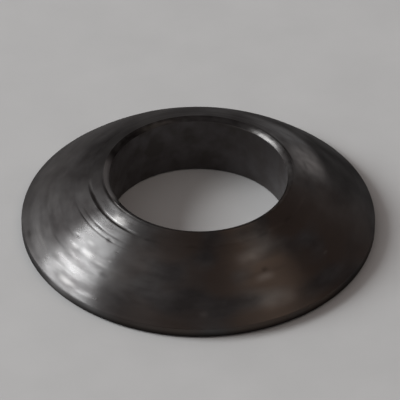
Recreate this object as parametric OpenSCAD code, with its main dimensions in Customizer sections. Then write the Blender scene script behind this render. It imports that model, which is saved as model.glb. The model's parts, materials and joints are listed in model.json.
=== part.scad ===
// Convex spherical washer, turned from one piece of steel bar.
// The flat base stands on z = 0, the bore runs along +Z, and the ball-shaped
// seat faces up. It sits in the hollow of a conical seat and lets a bolt lean.
// All sizes are in millimetres.

/* [Washer] */
// Outside diameter of the rim
outer_d = 21; // [16:0.1:28]
// Diameter of the bore that the bolt passes through
bore_d = 10.5; // [6:0.1:14.5]
// Height of the short straight rim, from the base to the foot of the seat
rim_h = 0.66; // [0.5:0.01:6]

/* [Seat] */
// Radius of the ball that the seat is part of
seat_r = 15; // [14.1:0.1:60]
// Width of the band of seat between the land round the bore and the tool line
band_w = 0.83; // [0.2:0.01:1.5]
// Depth of the vee that the tool left where two passes met
line_depth = 0.09; // [0.02:0.01:0.2]

/* [Broken edges] */
// Width of the narrow land that the facing cut leaves on top, round the bore
land_w = 0.18; // [0.05:0.01:0.4]
// Slope of that land, in degrees down towards the bore
land_angle = 10; // [0:1:30]
// Chamfer between that land and the bore
lip_break = 0.17; // [0.05:0.01:0.3]
// Chamfer where the bore meets the base
foot_break = 0.1; // [0.05:0.05:0.5]
// Chamfer round the outside of the base
base_break = 0.15; // [0.05:0.05:0.25]
// Width of the small flat where the rim meets the seat
rim_break = 0.1; // [0.02:0.01:0.2]

/* [Hidden] */
$fn = 180;
blackened_steel = [0.20, 0.19, 0.18];

outer_r = outer_d / 2;
bore_r = bore_d / 2;
// The ball's centre lies below the base, so that the seat ends on the rim.
ball_z = rim_h - sqrt(pow(seat_r, 2) - pow(outer_r, 2));
// Outer edge of the land, which is the highest edge of the washer
crest_r = bore_r + lip_break + land_w;
line_r = crest_r + band_w;
// Size of the cutters that break the edges: longer than any break is wide
cutter = 2;

// Height of the seat above the base at radius r
function seat_at(r) = ball_z + sqrt(pow(seat_r, 2) - pow(r, 2));
// Slope of the seat at radius r, in degrees below level
function slope_at(r) = asin(r / seat_r);
// Height of the land's inner edge, where the chamfer to the bore starts
lip_z = seat_at(crest_r) - land_w * tan(land_angle);

// Takes off all that lies to the left of a line through point p.
// The line's direction is given by its angle.
module edge_cut(p, angle) {
    translate(p) rotate(angle) translate([-cutter, 0]) square([2 * cutter, cutter]);
}

// Straight-sided ring that the seat is turned on, left of the axis empty
module blank() {
    translate([bore_r, 0]) square([outer_r - bore_r, seat_at(bore_r)]);
}

// The ball that the seat is part of
module ball() {
    translate([0, ball_z]) circle(seat_r);
}

// Shallow vee, square to the seat, where the facing pass met the forming pass
module tool_line() {
    translate([line_r, seat_at(line_r)])
        rotate(45 - slope_at(line_r))
            square(line_depth * sqrt(2), center = true);
}

// The land that the facing cut leaves, falling gently towards the bore
module facing_cut() {
    edge_cut([crest_r, seat_at(crest_r)], land_angle);
}

// The edges, each broken so that it doesn't cut the hand
module edge_breaks() {
    edge_cut([bore_r + lip_break, lip_z], 45);
    edge_cut([bore_r + foot_break, 0], 135);
    edge_cut([outer_r - base_break, 0], 225);
    edge_cut([outer_r, rim_h - rim_break / 2], 315 - slope_at(outer_r) / 2);
}

// Half of the washer's section, to the right of its axis
module section() {
    difference() {
        intersection() {
            blank();
            ball();
        }
        facing_cut();
        edge_breaks();
        tool_line();
    }
}

module washer() {
    color(blackened_steel) rotate_extrude() section();
}

washer();
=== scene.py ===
import json
import math

import bmesh
import bpy
from mathutils import Matrix, Vector, noise


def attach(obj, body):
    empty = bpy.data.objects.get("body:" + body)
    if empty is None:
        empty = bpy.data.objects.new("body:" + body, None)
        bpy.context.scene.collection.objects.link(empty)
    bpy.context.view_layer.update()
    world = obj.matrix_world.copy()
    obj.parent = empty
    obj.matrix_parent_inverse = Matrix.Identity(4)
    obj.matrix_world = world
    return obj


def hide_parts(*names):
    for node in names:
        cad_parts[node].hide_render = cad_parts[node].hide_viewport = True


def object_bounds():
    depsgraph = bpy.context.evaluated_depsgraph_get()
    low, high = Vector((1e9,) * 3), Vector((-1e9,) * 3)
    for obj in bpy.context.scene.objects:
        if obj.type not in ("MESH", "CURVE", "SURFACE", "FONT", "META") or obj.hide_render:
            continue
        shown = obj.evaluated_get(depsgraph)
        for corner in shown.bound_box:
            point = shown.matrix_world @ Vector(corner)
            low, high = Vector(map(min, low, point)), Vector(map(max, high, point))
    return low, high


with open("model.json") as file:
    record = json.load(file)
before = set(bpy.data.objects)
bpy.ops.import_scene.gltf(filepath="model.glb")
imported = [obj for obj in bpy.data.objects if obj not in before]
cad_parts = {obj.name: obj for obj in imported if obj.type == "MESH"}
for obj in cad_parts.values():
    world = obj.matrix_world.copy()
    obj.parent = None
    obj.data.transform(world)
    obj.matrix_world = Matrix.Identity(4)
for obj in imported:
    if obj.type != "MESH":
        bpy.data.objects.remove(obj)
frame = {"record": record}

cad_low, cad_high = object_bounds()

# ---------------------------------------------------------------- washer
# A convex spherical washer, turned in one piece from steel bar, then hardened and
# blackened. The bore is drilled, the base faced flat, and a form tool leaves the
# ball-shaped seat, with a vee where the facing pass round the bore met it.

# Sizes are in millimetres until the mesh is done. The frame gives the outside and the
# bore, and the others are the washer's own.
MM = 0.001
outer_r = cad_high.x / MM
bore_r = next(m["dims"]["r_mm"] for m in frame["record"]["mounts"] if m["name"] == "bore")
seat_r = 15.0
rim_h = 0.66
ball_z = rim_h - math.sqrt(seat_r**2 - outer_r**2)

# The land that the facing cut leaves, and the broken edges
land_w = 0.18
land_slope = math.radians(10)
lip_break = 0.17
foot_break = 0.1
base_break = 0.15
rim_break = 0.1
crest_r = bore_r + lip_break + land_w

# The vee where the two passes met
band_w = 0.83
line_depth = 0.09
line_r = crest_r + band_w


def seat_at(r):
    """Height of the ball at radius r."""
    return ball_z + math.sqrt(seat_r**2 - r**2)


def stretch(start, end, step):
    """Radii or heights from start to end, evenly spaced and about a step apart."""
    count = max(1, round(abs(end - start) / step))
    return [start + (end - start) * i / count for i in range(count + 1)]


# The vee is square to the seat, so its lips lie line_depth to each side along the slope.
line_slope = math.asin(line_r / seat_r)
line_half = line_depth * math.cos(line_slope)
line_floor = (
    line_r - line_depth * math.sin(line_slope),
    seat_at(line_r) - line_depth * math.cos(line_slope),
)
# The small flat at the rim leans half way between the seat and the straight rim.
rim_slope = math.asin(outer_r / seat_r)
rim_lean = math.pi / 4 + rim_slope / 2
flat_r = outer_r - rim_break / 2 / (math.tan(rim_lean) - math.tan(rim_slope))
lip_z = seat_at(crest_r) - land_w * math.tan(land_slope)

# Half the washer's section, walked from the base outwards and over the top. The seat
# has a point every 0.05 mm, because the marks on it are that fine.
base_step = 1.0
wall_step = 0.15
seat_step = 0.05
section = [(r, 0.0) for r in stretch(bore_r + foot_break, outer_r - base_break, base_step)]
section += [(outer_r, z) for z in stretch(base_break, rim_h - rim_break / 2, wall_step)]
section += [(r, seat_at(r)) for r in stretch(flat_r, line_r + line_half, seat_step)]
section += [line_floor]
section += [(r, seat_at(r)) for r in stretch(line_r - line_half, crest_r, seat_step)]
section += [(bore_r + lip_break, lip_z)]
section += [(bore_r, z) for z in stretch(lip_z - lip_break, foot_break, wall_step)]

skin = bmesh.new()
corners = [skin.verts.new((r, 0.0, z)) for r, z in section]
skin.faces.new(corners)


def soften(places, size):
    """Rounds the section's corners at these places, about size along each side."""
    touch = 0.001
    picked = [
        v for v in corners
        if v.is_valid and any((v.co.xz - Vector(place)).length < touch for place in places)
    ]
    bmesh.ops.bevel(
        skin,
        geom=picked,
        affect="VERTICES",
        offset=size,
        offset_type="OFFSET",
        segments=3,
        profile=0.5,
        material=-1,
    )


# A turned edge is never quite sharp. The seat's edges are the crispest, and the one that
# stands up next to the bore has been handled most.
seat_round = 0.02
wall_round = 0.03
handled_round = 0.09
soften([(bore_r + foot_break, 0.0), (bore_r, foot_break)], wall_round)
soften([(outer_r - base_break, 0.0), (outer_r, base_break)], wall_round)
soften([(outer_r, rim_h - rim_break / 2), (flat_r, seat_at(flat_r))], seat_round)
soften([(crest_r, seat_at(crest_r))], seat_round)
soften([(bore_r + lip_break, lip_z)], handled_round)
soften([(bore_r, lip_z - lip_break)], wall_round)

# How far along the section each vertex lies, for the map that the finish is baked on. The
# walk starts at the inner end of the base.
along = skin.verts.layers.float.new("along")
half_section = skin.faces[:][0]
walk = [loop.vert for loop in half_section.loops]
first = min(range(len(walk)), key=lambda i: (round(walk[i].co.z, 4), walk[i].co.x))
walk = walk[first:] + walk[:first]
length = 0.0
for here, there in zip(walk, walk[1:] + walk[:1]):
    here[along] = length
    length += (there.co - here.co).length

turns = 480
bmesh.ops.delete(skin, geom=[half_section], context="FACES_ONLY")
bmesh.ops.spin(
    skin,
    geom=skin.verts[:] + skin.edges[:],
    cent=(0, 0, 0),
    axis=(0, 0, 1),
    angle=math.tau,
    steps=turns,
    use_merge=True,
)
bmesh.ops.recalc_face_normals(skin, faces=skin.faces)

# A map that opens the skin flat for baking: the section runs along U, which is also the
# way that the tool marks spread a highlight, and the ring runs along V in four quarters.
opened = skin.loops.layers.uv.new("OFBake")
quarter_turn = math.pi / 2
# Share of a quarter that is left empty along each of its edges
margin = 0.01
for face in skin.faces:
    middle = face.calc_center_median()
    middle_azimuth = math.atan2(middle.y, middle.x) % math.tau
    quarter = int(middle_azimuth // quarter_turn)
    column, row = quarter % 2, quarter // 2
    last_strip = max(v[along] for v in face.verts) > length / 2
    for loop in face.loops:
        spot = loop.vert.co
        beyond = math.atan2(spot.y, spot.x) - middle_azimuth
        azimuth = middle_azimuth + (beyond + math.pi) % math.tau - math.pi
        v = azimuth / quarter_turn - quarter
        u = loop.vert[along] / length
        # The skin is cut open where the walk starts, so those corners end it as well.
        if u == 0.0 and last_strip:
            u = 1.0
        loop[opened].uv = (
            (column + margin + (1 - 2 * margin) * u) / 2,
            (row + margin + (1 - 2 * margin) * v) / 2,
        )
skin.verts.layers.float.remove(along)

# Finer lines that the form tool left on part of the way round: radius, depth and half
# width, then the azimuth of the middle and the reach to each side, in degrees
fine_lines = (
    (5.68, 0.040, 0.11, 34, 38),
    (5.64, 0.025, 0.13, 214, 40),
    (7.13, 0.012, 0.06, 217, 25),
    (7.40, 0.016, 0.06, 214, 28),
)
# Nicks and pits from handling: radius, azimuth in degrees, half length round the washer,
# half width across the seat, and depth
nicks = (
    (6.47, 243, 0.30, 0.14, 0.010),
    (6.55, 206, 0.35, 0.10, 0.020),
    (7.37, 226, 0.30, 0.12, 0.030),
    (8.20, 211, 0.35, 0.06, 0.012),
    (8.20, 298, 0.30, 0.20, 0.010),
    (8.35, 207, 0.80, 0.08, 0.006),
    (9.02, 233, 0.50, 0.16, 0.005),
    (9.10, 205, 0.90, 0.07, 0.008),
    (10.2, 192, 0.50, 0.14, 0.012),
    (10.2, 224, 0.50, 0.07, 0.008),
)
# Places where handling has thinned the black, and one broad patch of painted sheen: radius,
# azimuth, half length, half width, and how far the steel shows through, which for the sheen is how
# much it lightens
rubs_and_sheen = (
    (6.14, 223, 0.80, 0.28, 1.50),
    (6.30, 219, 1.00, 0.12, 0.25),
    (6.70, 16, 2.30, 1.35, 0.95),
    (7.27, 215, 1.30, 0.07, 0.10),
    (7.40, 294, 1.20, 0.60, 0.30),
    (7.53, 217, 1.40, 0.08, 0.10),
    (8.02, 219, 0.50, 0.14, 0.22),
    (8.12, 210, 0.30, 0.07, 0.18),
    (8.30, 232, 0.20, 0.07, 0.40),
    (8.55, 221, 0.65, 0.20, 0.40),
    (8.55, 297, 0.80, 0.30, 0.25),
    (8.60, 239, 1.10, 1.20, 0.14),
    (8.64, 229, 0.70, 0.12, 0.25),
    (8.65, 214, 0.40, 0.18, 0.35),
    (8.95, 326, 0.30, 0.10, 0.20),
    # Painted sheen: the outer seat at the back left is lightened as if it caught the room's light.
    (9.30, 156, 6.00, 2.20, 0.35),
    (9.70, 299, 1.60, 0.55, 0.25),
    (9.85, 272, 0.40, 0.20, 0.20),
    (9.90, 214, 0.70, 0.22, 0.12),
    (10.1, 221, 1.00, 0.20, 0.45),
)
# The unevenness under the marks: rings from the feed, streaks that the tool dragged, and
# swells from the blacking bath. Sizes along and across the marks, and depths.
feed_pitch = 0.34
feed_depth = 0.003
streak_long = 2.6
streak_wide = 0.24
streak_depth = 0.005
swell_long = 1.5
swell_wide = 0.9
swell_depth = 0.010

# Stretches round the washer, in degrees: the azimuth of the middle, how far to each side
# they hold fully, and where they end
open_vee = (210, 17, 29)
shaded_vee = (213, 13, 26)
reflecting_lip = (187, 15, 28)
# Softer stretches: the azimuth of the middle, and where they end to each side
highlit_lip = (40, 20)
oily_back = (155, 70)
shaded_side = (38, 60)

# Shares of full darkening: painted shade in the fine lines and the vee, dirt in the nicks, oil,
# and painted shade on the outer seat at the far right. The vee's is more than full, since it
# covers the whole floor. The oil inside the vee is thin all the way round and thicker at the back.
line_shade = 0.9
vee_shade = 1.6
nick_grime = 0.4
thin_oil = 0.12
back_oil = 0.35
far_side_shade = 0.75
# Radii between which the oil inside the vee ends, and the painted shade on the outer seat starts
inner_oil_end = (6.3, 7.4)
outer_shade_start = (7.4, 8.1)

# Radius in the middle of the seat, where the sizes of the patterns round the washer hold
mean_r = 8.0


def dip(offset, reach):
    """1 at the middle of a mark, falling smoothly to 0 at its edge."""
    return max(0.0, 1.0 - (offset / reach) ** 2) ** 2


def ease(value, start, end):
    """Rises smoothly from 0 to 1 as the value goes from start to end."""
    share = min(1.0, max(0.0, (value - start) / (end - start)))
    return share * share * (3.0 - 2.0 * share)


def turned_from(azimuth, middle):
    """Degrees from a place on the washer, between half a turn back and half a turn on."""
    return (math.degrees(azimuth) - middle + 180) % 360 - 180


def on_stretch(azimuth, middle, full, end):
    """1 on a stretch round the washer, easing to 0 at its ends."""
    return 1.0 - ease(abs(turned_from(azimuth, middle)), full, end)


def near_middle(azimuth, middle, end):
    """1 in the middle of a softer stretch, falling to 0 at its ends."""
    return dip(turned_from(azimuth, middle), end)


def on_spot(r, azimuth, at, middle, long, wide):
    """1 in the middle of a small mark, falling to 0 at its edge."""
    round_it = math.radians(turned_from(azimuth, middle)) * at
    return dip(r - at, wide) * dip(round_it, long)


def wave(a, b, c):
    """Soft noise between about -1 and 1 at three numbers. A plain number added to one of
    them, or standing for it, picks a part of the noise of its own."""
    return noise.noise(Vector((a, b, c)))


def marks(r, azimuth):
    """How deep the marks go below the ball here, how much dirt, oil and painted shade darken it,
    and how much bare steel and painted sheen lighten it."""
    x = mean_r * math.cos(azimuth)
    y = mean_r * math.sin(azimuth)
    feed = 0.5 + 0.5 * wave(r / feed_pitch, 0.0, 4.0)
    streak = 0.5 + 0.5 * wave(x / streak_long, y / streak_long, r / streak_wide)
    swell = 0.5 + 0.5 * wave(x / swell_long, y / swell_long, 30 + r / swell_wide)
    depth = feed_depth * feed + streak_depth * streak + swell_depth * swell
    grime = 0.0
    # Each fine line comes and goes, and it is painted dark just outside its middle: painted shade
    # in its groove.
    shade_shift = 0.01
    for at, deep, wide, middle, end in fine_lines:
        left = (1.0 + 0.6 * wave(x, y, 10 * at)) * near_middle(azimuth, middle, end)
        depth += deep * left * dip(r - at, wide)
        grime += line_shade * left * dip(r - at - shade_shift, wide)
    # The vee is painted dark where it is still open: painted shade in the groove, with some dirt.
    # The dark wanders a little across it.
    vee_dark_r = line_r + 0.02 + 0.04 * wave(x / 2.2, y / 2.2, 5.0)
    vee_dark_reach = 0.13
    vee_dark = on_stretch(azimuth, *shaded_vee) + 0.4 * wave(x, y, 9.0)
    grime += vee_shade * vee_dark * dip(r - vee_dark_r, vee_dark_reach)
    for at, middle, long, wide, deep in nicks:
        nick = on_spot(r, azimuth, at, middle, long, wide)
        depth += deep * nick
        grime += nick_grime * nick
    # Oil darkens the band inside the vee, most at the back. The outer seat at the far right is
    # darkened in patches with painted shade, where the main light only grazes it.
    oily = thin_oil + back_oil * near_middle(azimuth, *oily_back)
    grime += oily * (1.0 - ease(r, *inner_oil_end))
    patchy = 1.0 + 0.5 * wave(x / 1.2, y / 1.2, 20 + r)
    grime += far_side_shade * patchy * near_middle(azimuth, *shaded_side) * ease(r, *outer_shade_start)
    ragged = 1.0 + 0.5 * wave(1.7 * x, 1.7 * y, 3 * r)
    worn = 0.0
    for at, middle, long, wide, bare in rubs_and_sheen:
        worn += bare * ragged * on_spot(r, azimuth, at, middle, long, wide)
    return depth, grime, worn


grime_and_shade_at = skin.verts.layers.float.new("grime")
wear_and_sheen_at = skin.verts.layers.float.new("worn")
ball_middle = Vector((0, 0, ball_z))
# The marks fade out over these widths, so that the crest and the rim keep their places.
crest_fade = 0.05
rim_fade = 0.1
# Scale fills this share of the vee's depth, but for the stretch where it is still open.
filled_share = 0.9
# How far the finish of the lip and of the rim runs on past their own edges
run_on = 0.05
# How much the lip is lightened on the left, as a painted reflection, and at the far right, as a
# painted highlight
lip_reflection = 0.4
lip_highlight = 0.7
# Painted shade darkens the foot of the rim, where it stands on the floor, and ends this high above
# the base.
foot_shade = 0.9
shade_top = 0.5
for vert in skin.verts:
    r = vert.co.xy.length
    azimuth = math.atan2(vert.co.y, vert.co.x)
    grime = worn = 0.0
    if r > crest_r and vert.co.z > rim_h:
        # The seat and the vee
        out = (vert.co - ball_middle).normalized()
        vee_depth = seat_r - (vert.co - ball_middle).length
        filled = filled_share * (1.0 - on_stretch(azimuth, *open_vee))
        depth, grime, worn = marks(r, azimuth)
        fade = min(1.0, (r - crest_r) / crest_fade, (outer_r - r) / rim_fade)
        vert.co += out * (vee_depth * filled - depth * fade)
    elif vert.co.z > lip_z - lip_break - run_on:
        # The land and the lip: darkened as painted shade, but lighter on the left as a painted
        # reflection, and at the far right, where handling has polished it, as a painted highlight,
        # in streaks 0.35 mm long and 0.12 mm high
        crest_grime_and_shade = marks(crest_r, azimuth)[1]
        streaky = wave(vert.co.x / 0.35, vert.co.y / 0.35, vert.co.z / 0.12)
        reflecting = on_stretch(azimuth, *reflecting_lip)
        rubbed = near_middle(azimuth, *highlit_lip) * (0.5 + 2.0 * streaky)
        grime = (0.4 + 0.6 * crest_grime_and_shade + 0.3 * streaky) * (1.0 - reflecting)
        worn = lip_reflection * reflecting + lip_highlight * rubbed
    elif r > outer_r - base_break - run_on:
        # The rim, with painted shade at its foot
        grime = foot_shade * (1.0 - ease(vert.co.z, base_break, shade_top))
    vert[grime_and_shade_at] = min(1.0, max(0.0, grime))
    vert[wear_and_sheen_at] = min(1.0, max(0.0, worn))

bmesh.ops.scale(skin, vec=(MM, MM, MM), verts=skin.verts)
washer_mesh = bpy.data.meshes.new("turned_washer")
skin.to_mesh(washer_mesh)
skin.free()
washer_mesh.polygons.foreach_set("use_smooth", [True] * len(washer_mesh.polygons))
washer = bpy.data.objects.new("turned_washer", washer_mesh)
bpy.context.scene.collection.objects.link(washer)


def linear(hex_colour):
    """An sRGB hex colour as the linear RGBA that the shader takes."""
    channels = [int(hex_colour[i : i + 2], 16) / 255 for i in (1, 3, 5)]
    return [c / 12.92 if c <= 0.04045 else ((c + 0.055) / 1.055) ** 2.4 for c in channels] + [1]


def add(tree, kind, inputs=None, **settings):
    """Adds a node. Each input takes a value or the output of another node."""
    made = tree.nodes.new(kind)
    for name, value in settings.items():
        setattr(made, name, value)
    for socket, value in (inputs or {}).items():
        if isinstance(value, bpy.types.NodeSocket):
            tree.links.new(value, made.inputs[socket])
        else:
            made.inputs[socket].default_value = value
    return made


# A mix node's colour sockets share their names with its other kinds, so they go by number.
SHARE, FIRST, SECOND, MIXED = 0, 6, 7, 2

# Carbon steel, form turned and then blackened in a hot bath. It is a near-black metal
# with a soft satin shine. The tool's marks run round the washer, so a highlight spreads
# across them and stays narrow along them.
blackened = bpy.data.materials.new("blackened_turned_steel")
blackened.use_nodes = True
tree = blackened.node_tree
tree.nodes.clear()
place = add(tree, "ShaderNodeTexCoord").outputs["Object"]
in_mm = add(tree, "ShaderNodeVectorMath", {0: place, "Scale": 1 / MM}, operation="SCALE")
flat = add(tree, "ShaderNodeVectorMath", {0: in_mm.outputs[0], 1: (1, 1, 0)}, operation="MULTIPLY")
outward = add(tree, "ShaderNodeVectorMath", {0: flat.outputs[0]}, operation="NORMALIZE").outputs[0]
radius = add(tree, "ShaderNodeVectorMath", {0: flat.outputs[0]}, operation="LENGTH")
height = add(tree, "ShaderNodeSeparateXYZ", {0: in_mm.outputs[0]})
run = add(
    tree,
    "ShaderNodeMath",
    {0: radius.outputs["Value"], 1: height.outputs["Z"]},
    operation="SUBTRACT",
)
# Outwards and down, which is square to the marks all over the seat
across = add(tree, "ShaderNodeVectorMath", {0: outward, 1: (0, 0, -0.4)}, operation="ADD")

# Each pattern has its size round the washer and across the seat in millimetres, a shift
# to a place of its own in the noise, and its detail. The tool's marks are about 0.05 mm
# apart, too fine to show, so the streaks are drawn 0.4 mm wide. Radius less height
# grows by about 1.33 for each millimetre down the seat. A pattern's values lie mostly
# between 0.3 and 0.7, which is why the ranges that read it are narrow.
run_per_mm = 1.33
patterns = {}
for name, long, wide, shift, detail in (
    ("streaks", 3.0, 0.40, 0.0, 2.0),
    ("rubbed", 1.8, 0.70, 40.0, 2.0),
    ("blotches", 2.4, 1.4, 80.0, 3.0),
    ("tints", 3.0, 2.2, 120.0, 1.0),
):
    round_it = add(
        tree, "ShaderNodeVectorMath", {0: outward, "Scale": mean_r / long}, operation="SCALE"
    )
    over_it = add(
        tree,
        "ShaderNodeMath",
        {0: run.outputs[0], 1: 1 / (run_per_mm * wide), 2: shift},
        operation="MULTIPLY_ADD",
    )
    upright = add(tree, "ShaderNodeCombineXYZ", {"Z": over_it.outputs[0]})
    there = add(
        tree,
        "ShaderNodeVectorMath",
        {0: round_it.outputs[0], 1: upright.outputs[0]},
        operation="ADD",
    )
    pattern = add(
        tree, "ShaderNodeTexNoise", {"Vector": there.outputs[0], "Scale": 1.0, "Detail": detail}
    )
    patterns[name] = pattern.outputs[0]

# The oxide is thick and thin in soft blotches, and the front right side is made brown in blotches
# as a painted warm reflection. Bare steel shows where handling has thinned the black, painted
# light shows on the lip and the back left, and dirt, oil and painted shade darken what they cover.
thick = add(
    tree,
    "ShaderNodeMapRange",
    {"Value": patterns["blotches"], "From Min": 0.35, "From Max": 0.65},
)
oxide = add(
    tree,
    "ShaderNodeMix",
    {SHARE: thick.outputs[0], FIRST: linear("#585757"), SECOND: linear("#434141")},
    data_type="RGBA",
)
# Painted warm reflection: brown in blotches on the front right side.
warm_reflection_patchy = add(
    tree, "ShaderNodeMapRange", {"Value": patterns["tints"], "From Min": 0.35, "From Max": 0.55}
)
warm_reflection_way = (0.5, -0.87, 0)
facing = add(tree, "ShaderNodeVectorMath", {0: outward, 1: warm_reflection_way}, operation="DOT_PRODUCT")
on_reflecting_side = add(
    tree,
    "ShaderNodeMapRange",
    {"Value": facing.outputs["Value"], "From Min": 0.4, "From Max": 0.9},
)
painted_reflection_share = add(
    tree, "ShaderNodeMath", {0: warm_reflection_patchy.outputs[0], 1: on_reflecting_side.outputs[0]}, operation="MULTIPLY"
)
with_painted_reflection = add(
    tree,
    "ShaderNodeMix",
    {SHARE: painted_reflection_share.outputs[0], FIRST: oxide.outputs[MIXED], SECOND: linear("#524a45")},
    data_type="RGBA",
)
# Lighter with bare steel where handling has thinned the black, and with painted sheen, reflection
# and highlight at the back left of the seat and on the lip.
wear_and_sheen_share = add(tree, "ShaderNodeAttribute", attribute_name="worn")
bared_and_sheen = add(
    tree,
    "ShaderNodeMix",
    {SHARE: wear_and_sheen_share.outputs["Fac"], FIRST: with_painted_reflection.outputs[MIXED], SECOND: linear("#8a8887")},
    data_type="RGBA",
)
# Darker with dirt and oil, and with painted shade in the vee, the fine lines, the lip, the rim's
# foot and the outer seat at the far right.
grime_and_shade_share = add(tree, "ShaderNodeAttribute", attribute_name="grime")
finish = add(
    tree,
    "ShaderNodeMix",
    {SHARE: grime_and_shade_share.outputs["Fac"], FIRST: bared_and_sheen.outputs[MIXED], SECOND: linear("#1f1d1c")},
    data_type="RGBA",
)

# Streaks that the tool left smooth shine brighter in a highlight. They are strongest on
# the side where the tool chattered, and faint on the rest.
chatter_way = (-0.81, -0.59, 0)
facing = add(tree, "ShaderNodeVectorMath", {0: outward, 1: chatter_way}, operation="DOT_PRODUCT")
contrast = add(
    tree,
    "ShaderNodeMapRange",
    {"Value": facing.outputs["Value"], "From Min": 0.8, "From Max": 0.96, "To Min": 0.3},
)
smooth = add(
    tree, "ShaderNodeMath", {0: patterns["streaks"], 1: patterns["rubbed"]}, operation="ADD"
)
mean_roughness = 0.35
roughness_swing = 0.08
uneven = add(
    tree,
    "ShaderNodeMapRange",
    {
        "Value": smooth.outputs[0],
        "From Min": 0.8,
        "From Max": 1.2,
        "To Min": -roughness_swing,
        "To Max": roughness_swing,
    },
)
dull = add(
    tree,
    "ShaderNodeMath",
    {0: uneven.outputs[0], 1: contrast.outputs[0], 2: mean_roughness},
    operation="MULTIPLY_ADD",
)
relief_depth = 0.004 * MM
relief = add(tree, "ShaderNodeBump", {"Height": patterns["streaks"], "Distance": relief_depth})
steel = add(
    tree,
    "ShaderNodeBsdfPrincipled",
    {
        "Base Color": finish.outputs[MIXED],
        "Metallic": 1.0,
        "Roughness": dull.outputs[0],
        "Anisotropic": 0.95,
        "Specular Tint": linear("#bcbcbc"),
        "Tangent": across.outputs[0],
        "Normal": relief.outputs[0],
    },
)
add(tree, "ShaderNodeOutputMaterial", {"Surface": steel.outputs[0]})

# The same steel where a drill made the bore: torn rather than cut clean, so it is even
# and dull, with faint cloudy patches 1.3 mm across.
drilled = bpy.data.materials.new("blackened_drilled_steel")
drilled.use_nodes = True
tree = drilled.node_tree
tree.nodes.clear()
place = add(tree, "ShaderNodeTexCoord").outputs["Object"]
cloud_size = 1.3 * MM
clouds = add(tree, "ShaderNodeTexNoise", {"Vector": place, "Scale": 1 / cloud_size, "Detail": 3.0})
cloudy = add(
    tree,
    "ShaderNodeMapRange",
    {"Value": clouds.outputs[0], "From Min": 0.38, "From Max": 0.62},
)
scale = add(
    tree,
    "ShaderNodeMix",
    {SHARE: cloudy.outputs[0], FIRST: linear("#565251"), SECOND: linear("#656263")},
    data_type="RGBA",
)
bore_dull = add(
    tree, "ShaderNodeMapRange", {"Value": cloudy.outputs[0], "To Min": 0.5, "To Max": 0.42}
)
tear_depth = 0.02 * MM
torn = add(tree, "ShaderNodeBump", {"Height": clouds.outputs[0], "Distance": tear_depth})
bore_steel = add(
    tree,
    "ShaderNodeBsdfPrincipled",
    {
        "Base Color": scale.outputs[MIXED],
        "Metallic": 1.0,
        "Roughness": bore_dull.outputs[0],
        "Normal": torn.outputs[0],
    },
)
add(tree, "ShaderNodeOutputMaterial", {"Surface": bore_steel.outputs[0]})

# The drilled finish is on the wall of the bore, up to the edges of its chamfers.
washer_mesh.materials.append(blackened)
washer_mesh.materials.append(drilled)
wall_reach = (bore_r + 0.01) * MM
for face in washer_mesh.polygons:
    if face.center.xy.length < wall_reach:
        face.material_index = 1

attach(washer, "root")
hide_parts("washer")

# ---------------------------------------------------------------- floor
# A plain sheet of pale grey paper that the washer lies on. It is matt, and its pulp
# makes it very slightly cloudy.
floor_mesh = bpy.data.meshes.new("floor")
sheet = bmesh.new()
bmesh.ops.create_grid(sheet, x_segments=1, y_segments=1, size=1.0)
sheet.to_mesh(floor_mesh)
sheet.free()
floor = bpy.data.objects.new("floor", floor_mesh)
bpy.context.scene.collection.objects.link(floor)

paper = bpy.data.materials.new("pale_grey_paper")
paper.use_nodes = True
tree = paper.node_tree
tree.nodes.clear()
place = add(tree, "ShaderNodeTexCoord").outputs["Object"]
pulp_size = 4 * MM
pulp = add(tree, "ShaderNodeTexNoise", {"Vector": place, "Scale": 1 / pulp_size, "Detail": 3.0})
pulpy = add(
    tree, "ShaderNodeMapRange", {"Value": pulp.outputs[0], "From Min": 0.3, "From Max": 0.7}
)
grey = add(
    tree,
    "ShaderNodeMix",
    {SHARE: pulpy.outputs[0], FIRST: linear("#acacac"), SECOND: linear("#b0b0b0")},
    data_type="RGBA",
)
matt = add(
    tree,
    "ShaderNodeBsdfPrincipled",
    {"Base Color": grey.outputs[MIXED], "Roughness": 0.9, "Specular IOR Level": 0.1},
)
add(tree, "ShaderNodeOutputMaterial", {"Surface": matt.outputs[0]})
floor_mesh.materials.append(paper)

# ---------------------------------------------------------------- light
# One soft box on the left makes the main light and the shadow, and a weak warm one
# stands opposite. The rest is the dim room, with soft glows of pale wall and ceiling.


def direction(azimuth, elevation):
    """A unit vector at an azimuth, anticlockwise from +X, and an elevation, in degrees."""
    turn = Matrix.Rotation(math.radians(azimuth), 3, "Z")
    lift = Matrix.Rotation(math.radians(-elevation), 3, "Y")
    return turn @ lift @ Vector((1, 0, 0))


world = bpy.data.worlds.new("studio")
bpy.context.scene.world = world
world.use_nodes = True
tree = world.node_tree
tree.nodes.clear()
dim_and_warm = (0.18, 0.153, 0.148, 1)
room = add(tree, "ShaderNodeBackground", {"Color": dim_and_warm})
toward = add(tree, "ShaderNodeTexCoord").outputs["Generated"]
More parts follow.
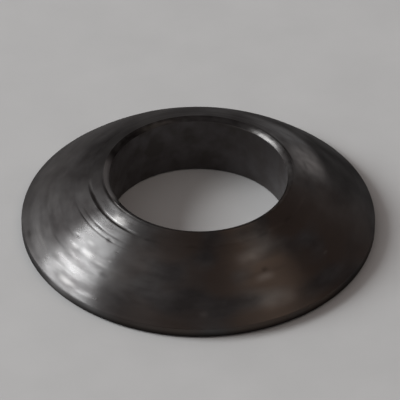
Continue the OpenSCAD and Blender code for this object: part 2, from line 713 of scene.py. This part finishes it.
# Each glow has its azimuth, elevation and strength. The power gives it a half width of
# about 18 degrees.
glow_power = 14.0
light = room.outputs[0]
for azimuth, elevation, strength in (
    (65, 15, 0.3),
    (100, 12, 0.5),
    (145, 13, 1.6),
    (165, 15, 1.5),
    (190, 15, 0.9),
    (200, 60, 0.6),
    (300, 45, 0.22),
):
    facing = add(
        tree,
        "ShaderNodeVectorMath",
        {0: toward, 1: direction(azimuth, elevation)},
        operation="DOT_PRODUCT",
    )
    ahead = add(tree, "ShaderNodeMath", {0: facing.outputs["Value"], 1: 0.0}, operation="MAXIMUM")
    fade = add(tree, "ShaderNodeMath", {0: ahead.outputs[0], 1: glow_power}, operation="POWER")
    glow = add(
        tree,
        "ShaderNodeBackground",
        {"Color": (strength, strength, strength, 1), "Strength": fade.outputs[0]},
    )
    light = add(tree, "ShaderNodeAddShader", {0: light, 1: glow.outputs[0]}).outputs[0]
add(tree, "ShaderNodeOutputWorld", {"Surface": light})


def soft_box(name, azimuth, elevation, size, strength, colour):
    """A rectangular lamp that faces the washer. Its strength is the light that it throws
    on a surface square to it, so it holds when the lamp is resized."""
    distance = 0.8
    data = bpy.data.lights.new(name, "AREA")
    data.shape = "RECTANGLE"
    data.size, data.size_y = size
    data.energy = strength * math.pi * distance**2
    data.color = colour
    lamp = bpy.data.objects.new(name, data)
    lamp.location = distance * direction(azimuth, elevation)
    lamp.rotation_euler = lamp.location.to_track_quat("Z", "Y").to_euler()
    bpy.context.scene.collection.objects.link(lamp)


soft_box(
    "window",
    azimuth=176,
    elevation=32.5,
    size=(0.45, 0.26),
    strength=3.25,
    colour=(0.97, 1, 1.01),
)
soft_box(
    "warm_panel",
    azimuth=342,
    elevation=58,
    size=(0.42, 0.34),
    strength=0.21,
    colour=(1, 0.87, 0.74),
)

# ---------------------------------------------------------------- camera
# It looks down on the washer from the front, over the near edge and into the bore,
# through a long lens and with a very slight roll.
aim = Vector((0.097, 0.0, 1.828)) * MM
camera_elevation = math.radians(38.46)
camera_distance = 0.2484
camera_roll = math.radians(0.334)
camera_data = bpy.data.cameras.new("camera")
camera_data.sensor_width = 36.0
camera_data.lens = 377.6
camera = bpy.data.objects.new("camera", camera_data)
towards_camera = Vector((0.0, -math.cos(camera_elevation), math.sin(camera_elevation)))
camera.location = aim + camera_distance * towards_camera
tilt = Matrix.Rotation(math.radians(90) - camera_elevation, 3, "X")
camera.rotation_euler = (tilt @ Matrix.Rotation(camera_roll, 3, "Z")).to_euler()
bpy.context.scene.collection.objects.link(camera)
bpy.context.scene.camera = camera

bpy.context.scene.view_settings.view_transform = "Standard"
